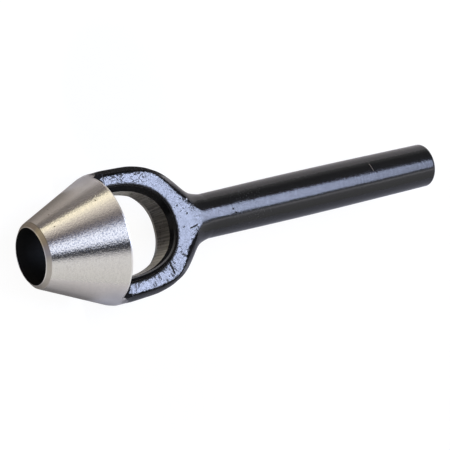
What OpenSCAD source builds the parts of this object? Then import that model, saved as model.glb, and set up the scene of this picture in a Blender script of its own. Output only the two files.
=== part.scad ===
// Arch punch: a hollow conical cutting head carried by a forged bow on a round
// striking shank. The cut slug travels through the head and drops out of the
// window in the bow.
// X runs along the tool from the cutting edge to the struck end. Z is square to
// the two flats of the bow. The origin is the centre of the cutting edge.

/* [Cutting head] */
// Diameter of the hole that the punch cuts
cut_d = 19.05; // [17:0.05:20]
// Diameter where the cutting bevel meets the cone
bevel_d = 22.2; // [21:0.1:23]
// Length of the cutting bevel
bevel_len = 1.35; // [1:0.05:2]
// Diameter of the cone at its back rim
head_d = 43; // [42:0.1:43.4]
// Length from the cutting edge to the back face of the cone
head_len = 25.6; // [25:0.1:27]
// Length of the straight land behind the cutting edge
land_len = 4; // [3:0.1:6]
// Diameter of the slug passage at the back face
throat_d = 27; // [26:0.1:27.2]
// Edge break on the back rim
rim_break = 0.3; // [0.2:0.05:0.5]
// Length of the two lugs that stand behind the back face
lug_len = 3.2; // [2.5:0.1:4]
// Diameter over the two lugs
lug_d = 44; // [43.6:0.1:44.2]

/* [Bow] */
// Width over the two arms
bow_w = 44.6; // [44.4:0.1:45.4]
// Thickness over the two flats
bow_t = 15.3; // [14.6:0.1:15.6]
// Width over the two flats at the arm ends
flat_w = 40.4; // [39:0.1:41]
// Distance from the cutting edge to the end of the neck
neck_x = 68; // [66:0.1:72]
// Distance from the cutting edge to the crotch of the window, on the upper flat
crotch_x = 51.9; // [50:0.1:52.5]
// Width of the window on the upper flat
window_w = 32.6; // [31:0.1:33]
// Width of the window where it is narrowest, half way through the thickness
window_mid_w = 27.5; // [27.3:0.1:28.4]

/* [Shank] */
// Largest diameter, along the straight middle
shank_d = 15.7; // [15.3:0.05:16]
// Diameter at the neck
shank_neck_d = 15.25; // [14.6:0.05:15.3]
// Diameter at the struck end
shank_end_d = 15; // [14:0.05:15.3]
// Overall length of the tool
total_len = 161.2; // [150:0.1:180]
// Rounding of the struck end
end_round = 1.2; // [0.6:0.1:2]

/* [Joints] */
// Length of the tenon on each arm
tenon_len = 6.5; // [5:0.1:6.8]
// Thickness of each tenon
tenon_t = 1.8; // [1.2:0.1:1.9]
// Width of each tenon
tenon_w = 9; // [6:0.1:9.4]
// Thickness of the filler metal between each arm and its lug
braze_t = 0.2; // [0.1:0.05:0.4]
// Diameter of the spigot on the shank
spigot_d = 9; // [7:0.1:9.4]
// Length of the spigot on the shank
spigot_len = 8.9; // [7:0.1:10]
// Depth of the weld groove round the neck
weld_depth = 1.2; // [0.8:0.1:1.6]

/* [Hidden] */
$fn = 96;

slack = 0.05;                       // gap round the tenons and the spigot
half_t = bow_t / 2;                 // upper flat stands at this height
lug_x = head_len + lug_len;         // end faces of the lugs
arm_x = lug_x + braze_t;            // end faces of the arms
tenon_y = 16.9;                     // inner side of the tenons
neck_r = shank_neck_d / 2;          // radius of the neck at its end
groove_r = neck_r - weld_depth;     // root of the weld groove
win_c = 31;                         // where the sides of the window start to close in

// Outline of the bow from the arm ends (0) to the end of the neck (100).
// The second number is the share of the spread that is left at that place,
// in per cent: first for the widest line half way through the thickness,
// then for the edge of the flats.
side_line = [[0, 99], [9, 100], [21, 99], [28, 98], [34, 96], [39, 94], [44, 91], [49, 87], [54, 81], [59, 75],
             [63, 69], [68, 58], [72, 46], [76, 33], [80, 21], [85, 10], [90, 4.5], [95, 1.5], [100, 0]];
flat_line = [[0, 100], [16, 99], [28, 97], [41, 92], [49, 87], [54, 80], [59, 69],
             [64, 56], [69, 44], [75, 32], [80, 21], [85, 12], [90, 6], [95, 3], [100, 2]];

// Smooth curve through a list of points, level at both ends.
function tangent(p, i) = i == 0 || i == len(p) - 1 ? 0
    : (p[i + 1][1] - p[i - 1][1]) / (p[i + 1][0] - p[i - 1][0]);
function span_of(p, u, i = 0) = i >= len(p) - 2 || u < p[i + 1][0] ? i : span_of(p, u, i + 1);
function smooth(p, u) = let (i = span_of(p, u), h = p[i + 1][0] - p[i][0], t = (u - p[i][0]) / h)
    (2 * t ^ 3 - 3 * t ^ 2 + 1) * p[i][1] + (t ^ 3 - 2 * t ^ 2 + t) * h * tangent(p, i)
    + (3 * t ^ 2 - 2 * t ^ 3) * p[i + 1][1] + (t ^ 3 - t ^ 2) * h * tangent(p, i + 1);

function along(x) = min(100, max(0, 100 * (x - lug_x) / (neck_x - lug_x)));
function side_y(x) = neck_r + (bow_w / 2 - neck_r) * smooth(side_line, along(x)) / 100;
function flat_y(x) = flat_w / 2 * smooth(flat_line, along(x)) / 100;
// Half thickness: flats on the arms, round like the shank at the end of the neck.
function level(x) = half_t + (neck_r - half_t) * along(x) / 100;

// One cross-section of the bow: an ellipse with its top and bottom cut off by the flats.
quarter = 7;
function section(x) = let (w = side_y(x), f = flat_y(x), h = level(x),
                           tall = h / sqrt(1 - (f / w) ^ 2), top = asin(h / tall))
    [for (q = [0:3], i = [0:quarter - q % 2])
        let (a = top * (q % 2 == 0 ? i : quarter - i) / quarter, s = q == 0 || q == 3 ? 1 : -1, t = q < 2 ? 1 : -1)
        [x, s * w * cos(a), t * tall * sin(a)]];

// Closed skin over a list of rings that all have the same number of points.
module skin(rings) {
    n = len(rings[0]);
    m = len(rings);
    polyhedron(
        points = [for (r = rings, p = r) p],
        faces = concat(
            [[for (k = [0:n - 1]) k]],
            [for (j = [0:m - 2], k = [0:n - 1]) let (a = j * n + k, b = j * n + (k + 1) % n) [a, a + n, b]],
            [for (j = [0:m - 2], k = [0:n - 1]) let (a = j * n + k, b = j * n + (k + 1) % n) [b, a + n, b + n]],
            [[for (k = [n - 1:-1:0]) (m - 1) * n + k]]));
}

// Outline of the window at one height: straight sides and a blunt round end.
function power(v, e) = sign(v) * abs(v) ^ e;
function window_ring(reach, half, blunt, z) = concat(
    [[head_len - 2, -half, z]],
    [for (a = [-90:6:90]) [win_c + reach * power(max(0, cos(a)), 2 / blunt), half * power(sin(a), 2 / blunt), z]],
    [[head_len - 2, half, z]]);

// The window tapers from both flats to a land near the middle of the thickness,
// where the web inside it was trimmed out. The land is narrowest at its lower edge.
module window() {
    far = crotch_x - win_c;
    skin([window_ring(far + 0.38, window_w / 2 + 0.33, 2.14, -half_t - 1),
          window_ring(far - 2.8, window_mid_w / 2, 2.55, -2),
          window_ring(far - 1.4, window_w / 2 - 2.1, 2.26, 4.5),
          window_ring(far + 0.44, window_w / 2 + 0.67, 2.18, half_t + 1)]);
}

// A turned shape: radius first, then distance along the tool.
module turned(profile) rotate([0, 90, 0]) rotate_extrude() polygon(profile);

// A rod along X.
module rod(r, x0, x1) translate([x0, 0, 0]) rotate([0, 90, 0]) cylinder(r = r, h = x1 - x0);

// Tenons of both arms, or their mortises with some slack added.
module tenons(gap, x0, x1) for (s = [-1, 1])
    translate([x0, s * (tenon_y + tenon_t / 2) - tenon_t / 2 - gap, -tenon_w / 2 - gap])
        cube([x1 - x0, tenon_t + 2 * gap, tenon_w + 2 * gap]);

// Both arm roots, cut from a turned shape: round outside, flat above and below.
module arm_roots(profile) difference() {
    intersection() {
        turned(profile);
        translate([0, -bow_w, -half_t]) cube([neck_x, 2 * bow_w, 2 * half_t]);
    }
    window();
}

module cutting_head() color([0.74, 0.72, 0.69]) difference() {
    union() {
        turned([[cut_d / 2, 0], [bevel_d / 2, bevel_len],
                [head_d / 2, head_len - rim_break], [head_d / 2 - rim_break, head_len],
                [throat_d / 2, head_len], [cut_d / 2, land_len]]);
        arm_roots([[0, head_len - 1], [lug_d / 2 - 1.2, head_len - 1], [lug_d / 2, head_len + 1.3],
                   [lug_d / 2, lug_x], [0, lug_x]]);
    }
    tenons(slack, arm_x - tenon_len - 0.1, lug_x + 1);
}

module arch_bow() color([0.08, 0.08, 0.09]) {
    difference() {
        skin([for (i = [0:28]) section(arm_x + (neck_x - arm_x) * i / 28)]);
        window();
        rod(spigot_d / 2 + slack, neck_x - spigot_len - 0.1, neck_x + 1);
        turned([[groove_r, neck_x], [groove_r + 4, neck_x - 4], [groove_r + 4, neck_x + 1], [groove_r, neck_x + 1]]);
    }
    tenons(0, arm_x - tenon_len, arm_x + 0.5);
}

module shank() color([0.08, 0.08, 0.09]) {
    mid0 = neck_x + 20;
    mid1 = mid0 + 36;
    end_r = shank_end_d / 2;
    turned(concat(
        [[0, neck_x - spigot_len], [spigot_d / 2 - 0.5, neck_x - spigot_len], [spigot_d / 2, neck_x - spigot_len + 0.5],
         [spigot_d / 2, neck_x], [groove_r, neck_x], [neck_r, neck_x + weld_depth],
         [shank_d / 2, mid0], [shank_d / 2, mid1]],
        [for (a = [0:15:90]) [end_r - end_round + end_round * cos(a), total_len - end_round + end_round * sin(a)]],
        [[0, total_len]]));
}

module head_braze() color([0.72, 0.60, 0.34]) difference() {
    arm_roots([[0, lug_x], [lug_d / 2 - 0.05, lug_x], [lug_d / 2 - 0.05, arm_x], [0, arm_x]]);
    tenons(slack, lug_x - 1, arm_x + 1);
}

module neck_weld() color([0.16, 0.16, 0.17])
    turned([[groove_r, neck_x], [neck_r, neck_x - weld_depth], [neck_r, neck_x + weld_depth]]);

cutting_head();
arch_bow();
shank();
head_braze();
neck_weld();
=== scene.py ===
import math

import bmesh
import bpy
import numpy as np
from mathutils import Matrix, Vector


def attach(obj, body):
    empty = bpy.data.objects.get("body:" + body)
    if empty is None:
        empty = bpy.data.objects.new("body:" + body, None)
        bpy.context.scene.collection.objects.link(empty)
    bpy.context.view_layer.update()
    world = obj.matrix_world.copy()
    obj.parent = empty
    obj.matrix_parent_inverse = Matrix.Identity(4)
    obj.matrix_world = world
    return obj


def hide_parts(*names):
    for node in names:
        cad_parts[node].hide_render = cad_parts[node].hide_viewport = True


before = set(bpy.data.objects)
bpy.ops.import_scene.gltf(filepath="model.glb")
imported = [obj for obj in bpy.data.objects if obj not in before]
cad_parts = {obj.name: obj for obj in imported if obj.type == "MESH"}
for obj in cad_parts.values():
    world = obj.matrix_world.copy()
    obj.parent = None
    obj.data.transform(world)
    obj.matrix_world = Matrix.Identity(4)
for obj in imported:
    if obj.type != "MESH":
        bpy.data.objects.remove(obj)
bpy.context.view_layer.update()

# Lengths in this script are millimetres until a mesh is made. X runs from the
# cutting edge to the struck end, Z is square to the flats of the bow.
MM = 0.001

# ---------------------------------------------------------------- shape rules

CUT_R = 9.525                        # cutting edge
BEVEL_X, BEVEL_R = 1.35, 11.1        # where the bevel meets the cone
RIM_X, RIM_R = 25.6, 21.5            # back rim of the cone
LAND_X, THROAT_R = 4.0, 13.5         # straight land, and the passage at the back
LUG_X, ARM_X = 28.8, 29.0            # ends of the lugs, and of the arms
LUG_R = 22.0                         # radius over the lugs
HALF_T = 7.65                        # half the thickness over the flats
NECK_X, NECK_0, NECK_1 = 68.0, 66.8, 69.2   # weld groove: root, and its two sides
GROOVE_R = 6.425
END_X, END_ROUND = 161.2, 1.2


def curve(points, blur=0.0):
    """A smooth curve through points without overshoot, as a function."""
    p = np.array(points, float)
    x, y = p[:, 0], p[:, 1]
    h = np.diff(x)
    s = np.diff(y) / h
    m = np.zeros(len(x))
    for i in range(1, len(x) - 1):
        if s[i - 1] * s[i] > 0:
            w1, w2 = 2 * h[i] + h[i - 1], h[i] + 2 * h[i - 1]
            m[i] = (w1 + w2) / (w1 / s[i - 1] + w2 / s[i])
    step = 0.04
    q = np.arange(x[0], x[-1] + step, step)
    i = np.clip(np.searchsorted(x, q, "right") - 1, 0, len(x) - 2)
    t = (q - x[i]) / h[i]
    v = ((2 * t ** 3 - 3 * t ** 2 + 1) * y[i] + (t ** 3 - 2 * t ** 2 + t) * h[i] * m[i]
         + (3 * t ** 2 - 2 * t ** 3) * y[i + 1] + (t ** 3 - t ** 2) * h[i] * m[i + 1])
    if blur:
        r = int(3 * blur / step)
        k = np.exp(-0.5 * (np.arange(-r, r + 1) * step / blur) ** 2)
        v = np.convolve(np.pad(v, r, "edge"), k / k.sum(), "valid")
    return lambda a: np.interp(a, q, v)


# Half width of the bow half way through its thickness, and half width of its flats.
side_y = curve([(24, 22.1), (29, 22.1), (32, 22.25), (37, 22.12), (42, 21.9), (44, 21.57), (46, 21.1), (48, 20.47),
                (50, 19.57), (52, 18.7), (53.5, 17.8), (55.5, 16.1), (57, 14.45), (58.5, 12.62), (60, 10.85), (62, 9.2),
                (64, 8.32), (65.5, 7.92), (66.5, 7.69), (67.6, 7.625), (72, 7.64)], 0.5)
flat_y = curve([(24, 20.2), (35, 20.0), (40, 19.6), (45, 18.7), (48, 17.5), (50, 16.0), (52, 13.8), (54, 11.1),
                (56, 8.6), (58, 6.4), (60, 4.1), (61.5, 2.5), (63, 1.2), (65, 0.3), (66.5, 0.0), (72, 0.0)], 0.4)
level_z = curve([(24, HALF_T), (58, HALF_T), (66.5, 7.625), (72, 7.64)], 0.5)
# Radius of the shank.
shank_r = curve([(60, 7.6), (66, 7.61), (68, 7.625), (79.3, 7.73), (92.6, 7.83), (105.8, 7.88), (119.1, 7.85),
                 (132.4, 7.74), (145.7, 7.64), (158.9, 7.51), (163, 7.48)], 2.0)

LATTICE = np.random.RandomState(11).rand(32, 32, 32)


def lumps(p, size):
    """Smooth random field from 0 to 1 with features of that size."""
    q = p / size
    i = np.floor(q).astype(int)
    t = q - i
    t = t * t * t * (t * (6 * t - 15) + 10)
    a, b = i & 31, (i + 1) & 31
    tx, ty, tz = t.T
    v = 0
    for ix, wx in ((a[:, 0], 1 - tx), (b[:, 0], tx)):
        for iy, wy in ((a[:, 1], 1 - ty), (b[:, 1], ty)):
            for iz, wz in ((a[:, 2], 1 - tz), (b[:, 2], tz)):
                v = v + wx * wy * wz * LATTICE[ix, iy, iz]
    return v


# ------------------------------------------------------------- mesh utilities

def make_object(name, verts, faces, materials, face_material=None, smooth=True):
    mesh = bpy.data.meshes.new(name)
    mesh.from_pydata((np.asarray(verts, float) * MM).tolist(), [], faces)
    for m in materials:
        mesh.materials.append(m)
    if face_material is not None:
        mesh.polygons.foreach_set("material_index", np.asarray(face_material, np.int32))
    mesh.polygons.foreach_set("use_smooth", np.full(len(mesh.polygons), smooth))
    mesh.update()
    obj = bpy.data.objects.new(name, mesh)
    bpy.context.scene.collection.objects.link(obj)
    return obj


def weld_points(obj, dist=0.0004):
    """Joins the patches of a mesh along their shared edges and points all faces outwards."""
    bm = bmesh.new()
    bm.from_mesh(obj.data)
    bmesh.ops.remove_doubles(bm, verts=bm.verts, dist=dist * MM)
    bmesh.ops.dissolve_degenerate(bm, edges=bm.edges, dist=1e-8)
    bmesh.ops.recalc_face_normals(bm, faces=bm.faces)
    bm.to_mesh(obj.data)
    bm.free()
    obj.data.update()


def ring_points(x, r, angles):
    return np.stack([np.broadcast_to(x, angles.shape), r * np.cos(angles), r * np.sin(angles)], 1)


def strip(rows, closed):
    """Quads over rows of points, each row an array of the same length."""
    n, m = len(rows[0]), len(rows)
    verts = np.concatenate(rows)
    cols = n if closed else n - 1
    faces = [(j * n + k, j * n + (k + 1) % n, (j + 1) * n + (k + 1) % n, (j + 1) * n + k)
             for j in range(m - 1) for k in range(cols)]
    return verts, faces


class Patches:
    def __init__(self):
        self.verts, self.faces, self.mats, self.count = [], [], [], 0

    def add(self, verts, faces, mat):
        self.verts.append(np.asarray(verts, float))
        self.faces += [tuple(i + self.count for i in f) for f in faces]
        self.mats += [mat] * len(faces) if isinstance(mat, int) else list(mat)
        self.count += len(verts)

    def build(self, name, materials):
        obj = make_object(name, np.concatenate(self.verts), self.faces, materials, self.mats)
        weld_points(obj)
        return obj


# ------------------------------------------------------------------ materials

class Graph:
    """Short calls for building a material's nodes."""

    def __init__(self, name):
        self.material = bpy.data.materials.new(name)
        self.material.use_nodes = True
        self.tree = self.material.node_tree
        self.tree.nodes.clear()

    def node(self, kind, inputs=(), **props):
        n = self.tree.nodes.new(kind)
        for k, v in props.items():
            setattr(n, k, v)
        for k, v in dict(inputs).items():
            self.put(n.inputs[k], v)
        return n

    def put(self, socket, value):
        if isinstance(value, bpy.types.NodeSocket):
            self.tree.links.new(value, socket)
        elif value is not None:
            socket.default_value = value

    def math(self, op, a, b=None, c=None, clamp=False):
        n = self.node("ShaderNodeMath", operation=op, use_clamp=clamp)
        for i, v in enumerate((a, b, c)):
            self.put(n.inputs[i], v)
        return n.outputs[0]

    def add(self, *values):
        total = values[0]
        for v in values[1:]:
            total = self.math("ADD", total, v)
        return total

    def mul(self, *values):
        total = values[0]
        for v in values[1:]:
            total = self.math("MULTIPLY", total, v)
        return total

    def step(self, value, low, high, to_low=0.0, to_high=1.0):
        """Smooth step of value between low and high."""
        n = self.node("ShaderNodeMapRange", {"From Min": low, "From Max": high, "To Min": to_low, "To Max": to_high},
                      interpolation_type="SMOOTHSTEP")
        self.put(n.inputs["Value"], value)
        return n.outputs["Result"]

    def place(self):
        """Position on the object in millimetres: vector, x, y, z."""
        co = self.node("ShaderNodeTexCoord").outputs["Object"]
        v = self.node("ShaderNodeVectorMath", {0: co}, operation="SCALE")
        v.inputs["Scale"].default_value = 1000.0
        s = self.node("ShaderNodeSeparateXYZ", {0: v.outputs[0]})
        return v.outputs[0], s.outputs[0], s.outputs[1], s.outputs[2]

    def vector(self, x, y, z):
        return self.node("ShaderNodeCombineXYZ", {0: x, 1: y, 2: z}).outputs[0]

    def noise(self, vector, scale, detail=2.0, rough=0.5, distortion=0.0):
        n = self.node("ShaderNodeTexNoise", {"Vector": vector, "Scale": scale, "Detail": detail,
                                             "Roughness": rough, "Distortion": distortion})
        return n.outputs[0]

    def cells(self, vector, scale, randomness=1.0):
        n = self.node("ShaderNodeTexVoronoi", {"Vector": vector, "Scale": scale, "Randomness": randomness})
        return n.outputs["Distance"], n.outputs["Color"]

    def attribute(self, name):
        return self.node("ShaderNodeAttribute", attribute_name=name).outputs["Fac"]

    def mix(self, fac, a, b):
        n = self.node("ShaderNodeMix", data_type="RGBA")
        self.put(n.inputs[0], fac)
        self.put(n.inputs[6], a)
        self.put(n.inputs[7], b)
        return n.outputs[2]

    def ramp(self, value, low, high, stops):
        """Grey level by value: stops are (value, level) between low and high."""
        n = self.node("ShaderNodeValToRGB")
        r = n.color_ramp
        while len(r.elements) < len(stops):
            r.elements.new(0.5)
        for e, (v, level) in zip(r.elements, stops):
            e.position, e.color = (v - low) / (high - low), (level, level, level, 1)
        self.put(n.inputs[0], self.math("DIVIDE", self.math("SUBTRACT", value, low), high - low))
        return n.outputs[0]

    def blob(self, x, y, cx, cy, rx, ry):
        """1 at (cx, cy), falling smoothly to 0 on the ellipse with half axes rx, ry."""
        u = self.math("DIVIDE", self.math("SUBTRACT", x, cx), rx)
        v = self.math("DIVIDE", self.math("SUBTRACT", y, cy), ry)
        return self.step(self.add(self.mul(u, u), self.mul(v, v)), 1.0, 0.0)

    def bump(self, height_mm, strength=1.0):
        n = self.node("ShaderNodeBump", {"Strength": strength, "Distance": MM, "Height": height_mm})
        return n.outputs[0]

    def finish(self, inputs):
        shader = self.node("ShaderNodeBsdfPrincipled", inputs)
        out = self.node("ShaderNodeOutputMaterial")
        self.tree.links.new(shader.outputs[0], out.inputs["Surface"])
        return self.material

    def segment(self, px, py, a, b):
        """Distance in the plane from (px, py) to the segment from a to b."""
        dx, dy = b[0] - a[0], b[1] - a[1]
        qx, qy = self.math("SUBTRACT", px, a[0]), self.math("SUBTRACT", py, a[1])
        t = self.math("DIVIDE", self.add(self.mul(qx, dx), self.mul(qy, dy)), dx * dx + dy * dy, clamp=True)
        ex = self.math("SUBTRACT", qx, self.mul(t, dx))
        ey = self.math("SUBTRACT", qy, self.mul(t, dy))
        return self.math("SQRT", self.add(self.mul(ex, ex), self.mul(ey, ey)))


def paint_material(name, specular, base):
    """Black over an uneven forged surface: fine grain, pits, hairlines and worn edges."""
    g = Graph(name)
    p, x, y, z = g.place()
    outer, inner, window = g.attribute("outer_edge"), g.attribute("inner_edge"), g.attribute("window")
    up = g.math("ABSOLUTE", z)
    on_flat = g.mul(g.step(up, 7.3, 7.5), g.step(x, 64.0, 60.0))
    peel = g.noise(p, 0.33, 2.0, 0.5)
    grain = g.noise(p, 1.7, 3.0, 0.6)
    crumble = g.noise(p, 3.4, 2.0, 0.6)
    speckle = g.noise(p, 2.3, 1.0, 0.5)
    # Pits: small round hollows, in patches and before the neck.
    dist, _ = g.cells(p, 1.25)
    patch = g.math("MAXIMUM", g.mul(g.step(g.noise(p, 0.16, 2.0), 0.46, 0.62), 0.8), g.mul(g.step(g.blob(x, y, 56.5, 4.5, 7.5, 6.0), 0.0, 0.5), g.step(y, -2.5, 0.5)))
    pits = g.mul(g.step(dist, 0.27, 0.15), g.step(g.noise(p, 0.9, 1.0), 0.54, 0.61), patch, on_flat, g.step(x, 61.0, 58.0))
    # A net of fine wrinkles, mainly on the +Y arm.
    net = g.math("ABSOLUTE", g.math("SUBTRACT", g.noise(p, 0.45, 1.5, 0.6), 0.5))
    net_where = g.math("MAXIMUM", g.mul(g.step(y, 10.0, 14.0), g.step(x, 48.0, 42.0), 0.75), 0.15)
    wrinkles = g.mul(g.step(net, 0.022, 0.008), net_where, on_flat)
    # Hairlines across the arms, as the metal flowed round the window.
    qx = g.math("SUBTRACT", x, 36.0)
    turn = g.math("ARCTAN2", y, qx)
    reach = g.math("SQRT", g.add(g.mul(qx, qx), g.mul(y, y)))
    hair_noise = g.noise(g.vector(g.mul(turn, 17.0), g.mul(reach, 0.30), g.mul(z, 0.1)), 1.0, 3.0, 0.65)
    hair_where = g.math("MAXIMUM", g.blob(x, y, 49.5, -13.5, 8.0, 8.5), g.mul(g.blob(x, y, 33.0, 17.5, 6.0, 6.0), 0.8))
    hair_where = g.math("MAXIMUM", hair_where, g.mul(g.step(y, -8.0, -14.0), 0.95))
    hair = g.mul(g.step(g.add(hair_noise, g.mul(hair_where, 0.10)), 0.65, 0.74), on_flat)
    # Chipped edges: worst along the outer edge of the upper arm and the inner edge of the lower one.
    upper = g.step(y, -2.0, 2.0)
    ragged_out = g.add(0.20, g.mul(upper, g.step(x, 41.0, 35.0), 0.10), g.mul(upper, g.step(x, 45.0, 50.0), 0.04))
    ragged_in = g.add(0.12, g.mul(g.step(y, 2.0, -6.0), 0.08))
    edge = g.mul(g.math("MAXIMUM", g.mul(outer, ragged_out), g.mul(inner, ragged_in)), g.step(x, 61.5, 58.5))
    chips = g.mul(g.step(g.add(g.noise(p, 1.6, 3.0, 0.6), edge), 0.66, 0.71), g.step(edge, 0.0, 0.04))
    # Two short cracks and two deep pits on the upper flat, two more pits on the shank.
    wob = g.mul(g.math("SUBTRACT", g.noise(p, 0.9, 2.0), 0.5), 0.5)
    cx, cy = g.add(x, wob), g.add(y, wob)
    cracks = None
    for a, b, width in (((45.6, -12.5), (46.45, -16.2), 0.36), ((56.75, -3.1), (59.4, -2.6), 0.25), ((54.0, -2.4), (54.6, -2.1), 0.13),
                        ((53.7, 5.1), (53.7, 5.2), 0.27), ((56.75, 1.95), (56.75, 2.05), 0.30),
                        ((74.7, 0.0), (74.7, -0.1), 0.30), ((75.5, -1.5), (75.7, -1.7), 0.34)):
        c = g.step(g.segment(cx, cy, a, b), width, width * 0.5)
        cracks = c if cracks is None else g.math("MAXIMUM", cracks, c)
    cracks = g.mul(cracks, g.step(z, 7.0, 7.4))
    broken = g.math("MAXIMUM", g.math("MAXIMUM", chips, cracks), g.math("MAXIMUM", g.math("MAXIMUM", pits, wrinkles), g.mul(hair, 0.75)))
    # Striations through the thickness where the web in the window was trimmed out, and the
    # rubbed burr above them.
    grooves = g.noise(g.vector(g.mul(turn, 26.0), g.mul(reach, 0.3), g.mul(z, 0.06)), 1.0, 3.0, 0.6)
    trimmed = g.mul(window, g.step(z, 4.5, 4.3), g.step(z, -2.2, -1.9))
    above = g.math("ABSOLUTE", g.math("SUBTRACT", z, g.add(5.0, g.mul(g.step(x, 36.0, 51.0), 1.35))))
    burr = g.mul(window, g.step(above, 0.46, 0.2), g.step(y, 0.0, -8.0), g.step(x, 52.0, 38.0, 0.15, 1.0))
    ledge = g.mul(window, g.step(z, 6.75, 7.0))
    # Faint marks across the shank, from rolling the bar.
    rolled = g.noise(g.vector(g.mul(x, 1.15), g.mul(y, 0.28), g.mul(z, 0.28)), 1.0, 2.0, 0.6)
    height = g.add(g.mul(peel, 0.022), g.mul(grain, g.step(x, 40.0, 46.0, 0.018, 0.023), g.step(x, 60.0, 70.0, 1.0, 0.75)),
                   g.mul(rolled, g.step(x, 64.0, 72.0), 0.036), g.mul(cracks, -0.22),
                   g.mul(g.noise(p, 0.7, 2.0), g.step(x, 60.0, 66.0), g.step(x, 100.0, 80.0, 0.019, 0.032)), g.mul(crumble, broken, 0.20), g.mul(broken, -0.06),
                   g.mul(grooves, trimmed, 0.05), g.mul(ledge, 0.10))
    colour = g.mix(g.step(grain, 0.3, 0.75), (base, base, base, 1), (1.8 * base, 1.8 * base, 1.8 * base, 1))
    land = g.mix(g.step(grooves, 0.38, 0.66), (0.078, 0.070, 0.056, 1), (0.19, 0.174, 0.145, 1))
    # Painted reflection: towards the ends of the arms the trimmed band gets a much lighter colour, standing in for its
    # grazing reflection of the bench.
    end_sheen = g.mix(g.step(grooves, 0.38, 0.66), (0.42, 0.40, 0.34, 1), (0.70, 0.67, 0.59, 1))
    worn = g.math("MAXIMUM", g.step(x, 44.0, 36.0), g.step(y, -4.0, -11.0))
    colour = g.mix(trimmed, colour, g.mix(worn, land, end_sheen))
    colour = g.mix(broken, colour, (0.0015, 0.0015, 0.0015, 1))
    colour = g.mix(g.mul(burr, 0.85), colour, (0.55, 0.53, 0.49, 1))
    # One scratch through the paint near the struck end, and one bare speck before the neck.
    scratch = g.mul(g.step(g.segment(x, y, (134.1, 4.3), (134.4, 1.7)), 0.12, 0.05), g.step(z, 5.0, 5.5))
    speck = g.mul(g.step(g.segment(x, y, (58.0, 6.5), (58.1, 6.55)), 0.28, 0.14), g.step(z, 7.0, 7.4))
    colour = g.mix(scratch, colour, (0.15, 0.125, 0.095, 1))
    colour = g.mix(speck, colour, (0.70, 0.70, 0.72, 1))
    rough = g.add(g.mul(g.noise(p, 0.5, 2.0), 0.08), g.mul(g.step(speckle, 0.52, 0.74), 0.14), 0.08,
                  g.mul(g.step(x, 72.0, 77.0), g.step(x, 92.0, 84.0), 0.04), g.mul(broken, 0.45), g.mul(cracks, 0.4), g.mul(trimmed, 0.16), g.mul(burr, 0.2), g.mul(scratch, 0.3))
    return g.finish({"Base Color": colour, "Metallic": g.mul(burr, 0.8), "Roughness": rough, "IOR": 1.52,
                     "Specular IOR Level": specular, "Normal": g.bump(height)})


def root_material():
    """Soot-black gap beside the head, where neither brush nor grinding belt reaches."""
    g = Graph("soot_black")
    p, x, y, z = g.place()
    grain = g.noise(p, 1.6, 3.0, 0.65)
    colour = g.mix(grain, (0.0015, 0.0015, 0.0015, 1), (0.007, 0.0065, 0.0055, 1))
    return g.finish({"Base Color": colour, "Roughness": g.add(g.mul(grain, 0.3), 0.45), "Specular IOR Level": 0.05,
                     "Normal": g.bump(g.mul(grain, 0.12))})


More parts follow.
